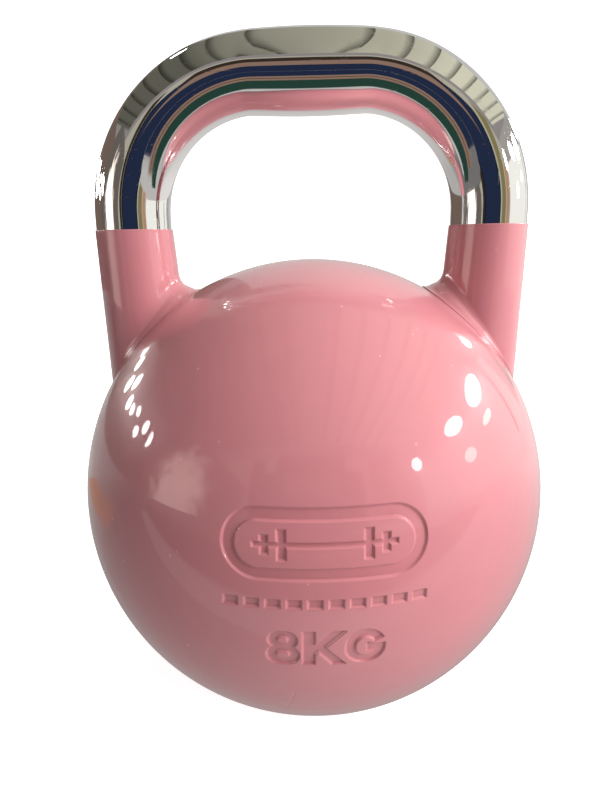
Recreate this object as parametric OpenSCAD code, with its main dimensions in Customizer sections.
// Competition kettlebell, 8 kg: a hollow steel ball of the standard competition size on a flat foot,
// two horns and a bent chromed handle bar, joined by welds and dowels, with set ballast inside.
// Millimetres. The origin is the centre of the foot on the floor, +Z is up and -Y is the marked front.

/* [Ball] */
// Outside diameter of the ball
ball_d = 210; // [205:1:215]
// Height of the ball's centre above the floor
ball_z = 80; // [78:0.5:84]
// Wall of the two pressed shells
wall = 4; // [3.5:0.5:5]

/* [Handle] */
// Overall height of the kettlebell
total_h = 280; // [276:1:284]
// Diameter of the handle bar in its bends and legs
bar_d = 33; // [31:0.5:34]
// How far the grip swells past the bar, on the radius, at its middle
grip_swell = 0.9; // [0.3:0.1:1.5]
// Distance between the axes of the two legs
leg_spread = 158; // [150:1:162]
// Radius of the bar's centreline in the bends
bend_r = 57.5; // [52:0.5:60]
// Straight length of each leg below its bend
leg_straight = 6.3; // [4:0.1:10]

/* [Horns] */
// How far the painted horn stands out past the bar at its top
horn_step = 0.5; // [0.3:0.1:1]
// How much the horn's radius grows over its length
horn_growth = 1.7; // [0.5:0.1:2.5]
// Lean of each horn towards the middle of the ball, in degrees
horn_lean = 3.2; // [1:0.1:4]
// Diameter of the dowels that pin the bar to the horns
dowel_d = 14; // [12:1:16]
// Depth of the dowel in the bar
dowel_up = 20; // [16:1:22]
// Depth of the dowel in the horn
dowel_down = 25; // [20:1:28]

/* [Foot] */
// Thickness of the base plate
plate_t = 8; // [7:0.5:10]
// Height of the register that centres the plate in the lower shell
register_h = 2; // [1:0.5:3]
// Diameter of the filler plug's shank
plug_d = 26; // [22:1:28]
// Diameter of the filler plug's flange
flange_d = 38; // [36:1:42]
// How far the plug lies above the plane of the foot
plug_recess = 0.8; // [0.5:0.1:1]
// Depth of the set ballast above the base plate
ballast_h = 12.6; // [8:0.1:30]

/* [Marks] */
// Depth of the pressed marks
mark_depth = 0.9; // [0.8:0.1:1.5]
// Width of the marks' main strokes
stroke = 4.2; // [3.5:0.1:4.5]
// Turn of the marks about the vertical axis, away from the plane of the handle, in degrees
mark_turn = 2.9; // [0:0.1:5]

/* [Hidden] */
$fn = 180;

PAINT = "#c4717d";
CHROME = "#c9ced3";
STEEL = "#8b9096";
WELD = "#6f6a66";
MORTAR = "#a59f93";
RUBBER = "#2a2a2c";

EPS = 0.01; // cutters run this far past what they cut
FINE = 360; // facets on the slow curve of the grip

ball_r = ball_d / 2;
inner_r = ball_r - wall;
bar_r = bar_d / 2;
grip_r = bar_r + grip_swell;
bar_z = total_h - grip_r;
leg_x = leg_spread / 2;
grip_half = leg_x - bend_r;
joint_z = bar_z - bend_r - leg_straight; // where the bar stands on the horns
swell_half = grip_half - 1; // the swell runs out just before the bends
swell_arc_r = (swell_half * swell_half + grip_swell * grip_swell) / (2 * grip_swell);

weld_root = 1; // wall left under each groove
groove_half = 1.6; // half the width of a seam at its surface
ring_half = 6; // half the height of the backing ring
ring_t = 2.6; // thickness of the backing ring

horn_top_r = bar_r + horn_step;
horn_len = 110; // long enough to end inside the ball, where the ball cuts it
bevel = 3; // bevel round the top of each horn, filled by the handle weld
// Each layer of a horn's fillet weld: how far it stands out from the horn, how far it is moved
// towards the middle of the ball, where the fillet is widest, and how far it rises off the ball
WELD_LAYERS = [[3.4, 5.4, 1.2], [2.4, 2.0, 2.6], [1.0, 2.0, 5.0], [0.3, 1.3, 10]];

plate_z = -ball_z + plate_t; // the plate's top, measured from the ball's centre
plate_edge_r = sqrt(ball_r * ball_r - plate_z * plate_z);
register_r = sqrt(inner_r * inner_r - plate_z * plate_z) - 0.2;
washer_t = 1;
flange_t = 2.2;
hex_af = 12; // across the flats of the plug's socket
hex_depth = 5;

emblem_w = 70;
emblem_h = 24.6;
emblem_z = 14.8; // heights of the marks are measured from the ball's centre
dash_count = 10;
dash_w = 4.8;
dash_h = 3.2;
dash_z = -6.4;
digit_h = 15.2;
digits_z = -25.2;
figure_w = 11.6;
figure_gap = 1.2;
k_w = 15;
g_w = 13.9;
g_stroke = 3.4;

// A solid of revolution whose outline is measured from the ball's centre
module ball_turned() {
    translate([0, 0, ball_z])
        rotate_extrude()
            children();
}

// The ball's cross-section between two heights
module ball_section(r, z_low, z_high) {
    intersection() {
        circle(r = r);
        translate([0, z_low])
            square([r, z_high - z_low]);
    }
}

// Cross-section of the equator's weld groove
module equator_groove(outer) {
    polygon([
        [inner_r + weld_root, 0],
        [outer, groove_half],
        [outer, -groove_half]
    ]);
}

// Cross-section of the groove between the base plate and the lower shell
module base_groove(outer) {
    polygon([
        [register_r + 2, plate_z],
        [outer, plate_z + groove_half],
        [outer, plate_z - groove_half]
    ]);
}

// A capsule lying along X, by its overall size
module capsule(w, h) {
    square([w - h, h], center = true);
    for (side = [-1, 1])
        translate([side * (w - h) / 2, 0])
            circle(d = h);
}

// A plain barbell: a bar with two plates on each end
module barbell_sign(w, h) {
    square([w, h * 0.16], center = true);
    for (side = [-1, 1]) {
        translate([side * w * 0.30, 0])
            square([h * 0.28, h], center = true);
        translate([side * w * 0.42, 0])
            square([h * 0.24, h * 0.62], center = true);
    }
}

// The emblem: a capsule-shaped band round a plain barbell
module emblem_outline() {
    difference() {
        capsule(emblem_w, emblem_h);
        capsule(emblem_w - 2 * stroke, emblem_h - 2 * stroke);
    }
    barbell_sign(emblem_w - 5 * stroke, emblem_h - 3.4 * stroke);
}

// A row of plain dashes
module dash_row() {
    pitch = (emblem_w - dash_w) / (dash_count - 1);
    for (i = [0 : dash_count - 1])
        translate([dash_w / 2 - emblem_w / 2 + i * pitch, 0])
            square([dash_w, dash_h], center = true);
}

// The figure 8: two capsules, the lower one larger, each with an eye
module figure_8() {
    top_h = digit_h * 0.52;
    bottom_h = digit_h * 0.58;
    difference() {
        union() {
            translate([0, digit_h - top_h / 2])
                capsule(figure_w - 1.4, top_h);
            translate([0, bottom_h / 2])
                capsule(figure_w, bottom_h);
        }
        translate([0, digit_h - top_h / 2])
            capsule(3.9, 2.8);
        translate([0, bottom_h / 2])
            capsule(4.9, 3.1);
    }
}

// The letter K: an upright and two arms
module letter_k() {
    polygon([
        [0, 0],
        [0, digit_h],
        [stroke, digit_h],
        [stroke, digit_h * 0.60],
        [k_w - 4.7, digit_h],
        [k_w, digit_h],
        [stroke + 3.7, digit_h * 0.54],
        [k_w, 0],
        [k_w - 4.6, 0],
        [stroke + 1.4, digit_h * 0.39],
        [stroke, digit_h * 0.31],
        [stroke, 0]
    ]);
}

// The letter G: an upright capsule ring with a bar, opened by a mouth above the bar
module letter_g() {
    difference() {
        union() {
            difference() {
                rotate(90)
                    capsule(digit_h, g_w);
                rotate(90)
                    capsule(digit_h - 2 * g_stroke, g_w - 2 * g_stroke);
            }
            translate([0.6, -2.4])
                square([g_w / 2 - 1, 4]);
        }
        polygon([[-0.4, 0.8], [g_w, 0.8], [g_w, digit_h * 0.42]]);
    }
}

// The weight in plain block characters, centred on the origin
module weight_outline() {
    total_w = figure_w + figure_gap + k_w + g_w;
    translate([(figure_w - total_w) / 2, -digit_h / 2])
        figure_8();
    translate([figure_w + figure_gap - total_w / 2, -digit_h / 2])
        letter_k();
    translate([(total_w - g_w) / 2, 0])
        letter_g();
}

// Sinks a flat outline into the front of the ball, to the marks' depth
module pressed(z) {
    translate([0, 0, ball_z])
        difference() {
            rotate([0, 0, mark_turn])
                translate([0, 0, z])
                    rotate([90, 0, 0])
                        linear_extrude(ball_r + 1)
                            children();
            sphere(r = ball_r - mark_depth);
        }
}

// Half of the ball's wall, between two heights
module shell_wall(z_low, z_high) {
    ball_turned()
        difference() {
            ball_section(ball_r, z_low, z_high);
            circle(r = inner_r);
            equator_groove(ball_r + 1);
            base_groove(plate_edge_r + 3);
        }
}

module upper_shell() {
    color(PAINT)
        difference() {
            shell_wall(0, ball_r);
            pressed(emblem_z)
                emblem_outline();
        }
}

module lower_shell() {
    color(PAINT)
        difference() {
            shell_wall(plate_z, 0);
            pressed(dash_z)
                dash_row();
            pressed(digits_z)
                weight_outline();
        }
}

// A hoop inside the seam, which both shells locate on while they are welded
module backing_ring() {
    color(STEEL)
        ball_turned()
            difference() {
                ball_section(inner_r, -ring_half, ring_half);
                translate([0, -ring_half - 1])
                    square([inner_r - ring_t, 2 * ring_half + 2]);
            }
}

module equator_weld() {
    color(WELD)
        ball_turned()
            intersection() {
                circle(r = ball_r);
                equator_groove(ball_r + 1);
            }
}

module base_plate() {
    color(PAINT)
        difference() {
            ball_turned()
                difference() {
                    union() {
                        ball_section(ball_r, -ball_z, plate_z);
                        translate([0, -ball_z])
                            square([register_r, plate_t + register_h]);
                    }
                    base_groove(plate_edge_r + 3);
                }
            translate([0, 0, -EPS])
                cylinder(d = plug_d, h = plate_t + register_h + 2 * EPS);
            translate([0, 0, -EPS])
                cylinder(d = flange_d + 2, h = plug_recess + flange_t + washer_t + EPS);
        }
}

module base_weld() {
    color(WELD)
        ball_turned()
            intersection() {
                circle(r = ball_r);
                base_groove(plate_edge_r + 3);
            }
}

// The flanged plug that closes the filling hole, turned by a hexagon key
module filler_plug() {
    shank_top = plate_t + register_h;
    color(STEEL)
        difference() {
            union() {
                translate([0, 0, plug_recess])
                    cylinder(d = flange_d, h = flange_t);
                translate([0, 0, plug_recess])
                    cylinder(d = plug_d, h = shank_top - plug_recess);
            }
            translate([0, 0, plug_recess - EPS])
                cylinder(d = hex_af / cos(30), h = hex_depth, $fn = 6);
        }
}

// The sealing washer between the plug's flange and the base plate
module plug_washer() {
    color(RUBBER)
        translate([0, 0, plug_recess + flange_t])
            difference() {
                cylinder(d = flange_d, h = washer_t);
                translate([0, 0, -EPS])
                    cylinder(d = plug_d + 0.4, h = washer_t + 2 * EPS);
            }
}

// Mortar poured through the filling hole, set on the base plate
module ballast() {
    color(MORTAR)
        ball_turned()
            ball_section(inner_r, plate_z + register_h, plate_z + register_h + ballast_h);
}

// The right horn's cone, grown by `out` and moved by `shift` towards the middle of the ball
module horn_cone(out, shift) {
    top = 4; // the cone runs past the joint, where it is cut level
    translate([leg_x - shift, 0, joint_z])
        rotate([0, horn_lean, 0])
            translate([0, 0, -horn_len])
                cylinder(
                    r1 = horn_top_r + out + horn_growth * horn_len / 70,
                    r2 = horn_top_r + out - horn_growth * top / 70,
                    h = horn_len + top
                );
}

// Everything under the level where the bar stands on the horns
module below_joint() {
    translate([0, -ball_r, 0])
        cube([ball_d, ball_d, joint_z]);
}

// What the bevel leaves of the horn's top
module bevel_core() {
    translate([leg_x, 0, joint_z - bevel - 0.6])
        cylinder(r1 = horn_top_r + 0.6, r2 = horn_top_r - bevel, h = bevel + 0.6);
}

module bevel_band() {
    translate([leg_x, 0, joint_z - bevel - 0.6])
        cylinder(r = horn_top_r + 5, h = bevel + 0.6);
}

// The ring of weld that fills the bevel round the horn's top
module handle_weld() {
    color(PAINT)
        difference() {
            intersection() {
                horn_cone(0, 0);
                bevel_band();
            }
            bevel_core();
        }
}

module horn() {
    color(PAINT)
        difference() {
            intersection() {
                horn_cone(0, 0);
                below_joint();
            }
            difference() {
                bevel_band();
                bevel_core();
            }
            translate([0, 0, ball_z])
                sphere(r = ball_r);
            translate([leg_x, 0, joint_z - dowel_down])
                cylinder(d = dowel_d, h = dowel_down + EPS);
        }
}

// The fillet weld round the foot of a horn, widest on the side that faces the hand
module horn_weld() {
    color(PAINT)
        difference() {
            for (layer = WELD_LAYERS)
                intersection() {
                    horn_cone(layer[0], layer[1]);
                    translate([0, 0, ball_z])
                        sphere(r = ball_r + layer[2]);
                }
            horn_cone(0, 0);
            translate([0, 0, ball_z])
                sphere(r = ball_r);
        }
}

module dowel() {
    color(STEEL)
        translate([leg_x, 0, joint_z - dowel_down])
            cylinder(d = dowel_d, h = dowel_down + dowel_up);
}

// The same thing on the left
module left() {
    mirror([1, 0, 0])
        children();
}

module left_horn() { left() horn(); }
module right_horn() { horn(); }
module left_horn_weld() { left() horn_weld(); }
module right_horn_weld() { horn_weld(); }
module left_handle_weld() { left() handle_weld(); }
module right_handle_weld() { handle_weld(); }
module left_dowel() { left() dowel(); }
module right_dowel() { dowel(); }

// The bend and the leg on the right
module bar_side() {
    translate([grip_half, 0, bar_z - bend_r])
        rotate([90, 0, 0])
            rotate_extrude(angle = 90)
                translate([bend_r, 0])
                    circle(r = bar_r);
    translate([leg_x, 0, joint_z])
        cylinder(r = bar_r, h = leg_straight);
}

// The part of the bar that the hand closes on, slightly barrel-shaped
module grip() {
    swell_cut = swell_half + 0.5;
    translate([0, 0, bar_z])
        rotate([0, 90, 0]) {
            translate([0, 0, -grip_half])
                cylinder(r = bar_r, h = 2 * grip_half);
            rotate_extrude()
                intersection() {
                    translate([grip_r - swell_arc_r, 0])
                        circle(r = swell_arc_r, $fn = FINE);
                    translate([0, -swell_cut])
                        square([2 * bar_r, 2 * swell_cut]);
                }
        }
}

module handle_bar() {
    color(CHROME)
        difference() {
            union() {
                grip();
                bar_side();
                left() bar_side();
            }
            for (side = [-1, 1])
                translate([side * leg_x, 0, joint_z - EPS])
                    cylinder(d = dowel_d, h = dowel_up + EPS);
        }
}

upper_shell();
lower_shell();
backing_ring();
equator_weld();
base_plate();
base_weld();
filler_plug();
plug_washer();
ballast();
left_horn();
right_horn();
left_horn_weld();
right_horn_weld();
handle_bar();
left_handle_weld();
right_handle_weld();
left_dowel();
right_dowel();
